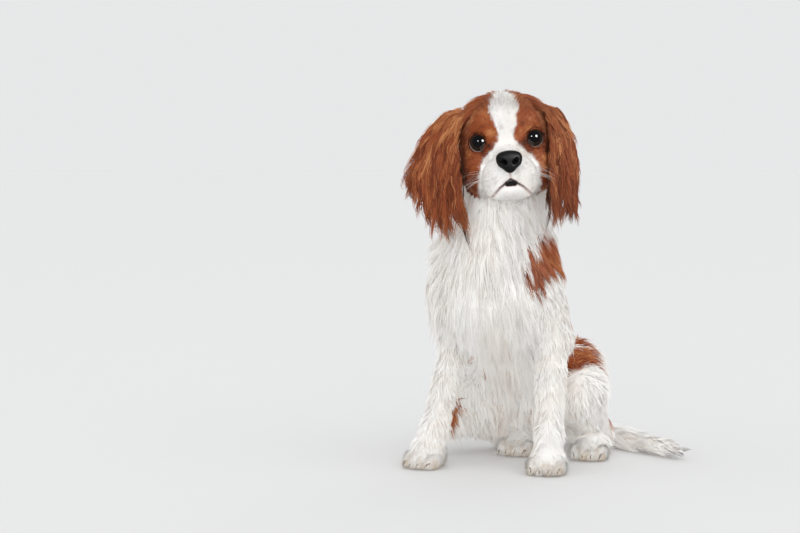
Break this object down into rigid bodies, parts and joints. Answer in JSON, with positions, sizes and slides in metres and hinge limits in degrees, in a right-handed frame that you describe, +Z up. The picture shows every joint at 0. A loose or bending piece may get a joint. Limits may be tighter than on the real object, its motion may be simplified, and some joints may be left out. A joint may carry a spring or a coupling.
{
  "type": "cavalier king charles spaniel",
  "caption": "Sitting cavalier king charles spaniel, life size, chestnut and white coat, head turned to its left.",
  "frame": {"origin": "centre of the bottom of the overall box, on the floor", "axes": "+Z up, -Y the way the body faces, +X towards the dog's own left"},
  "size_m": [0.309, 0.3366, 0.4194],
  "materials": {
    "white_coat": "matt, long silky hair",
    "chestnut_coat": "satin, long silky hair",
    "nose_leather": "moist, pebbled",
    "eye": "polished",
    "horn": "satin"
  },
  "bodies": {
    "root": {"claw_fore_left_1": "horn", "claw_fore_left_2": "horn", "claw_fore_left_3": "horn", "claw_fore_left_4": "horn", "claw_fore_right_1": "horn", "claw_fore_right_2": "horn", "claw_fore_right_3": "horn", "claw_fore_right_4": "horn", "claw_hind_left_1": "horn", "claw_hind_left_2": "horn", "claw_hind_left_3": "horn", "claw_hind_left_4": "horn", "claw_hind_right_1": "horn", "claw_hind_right_2": "horn", "claw_hind_right_3": "horn", "claw_hind_right_4": "horn", "ear_left": "chestnut_coat", "ear_right": "chestnut_coat", "eye_left": "eye", "eye_right": "eye", "forearm_left": "white_coat", "forearm_right": "white_coat", "forepaw_left": "white_coat", "forepaw_right": "white_coat", "head": "white_coat", "hindpaw_left": "white_coat", "hindpaw_right": "white_coat", "neck": "white_coat", "nose": "nose_leather", "shank_left": "white_coat", "shank_right": "white_coat", "tail": "white_coat", "thigh_left": "white_coat", "thigh_right": "white_coat", "torso": "white_coat", "upper_arm_left": "white_coat", "upper_arm_right": "white_coat"}
  },
  "joints": []
}
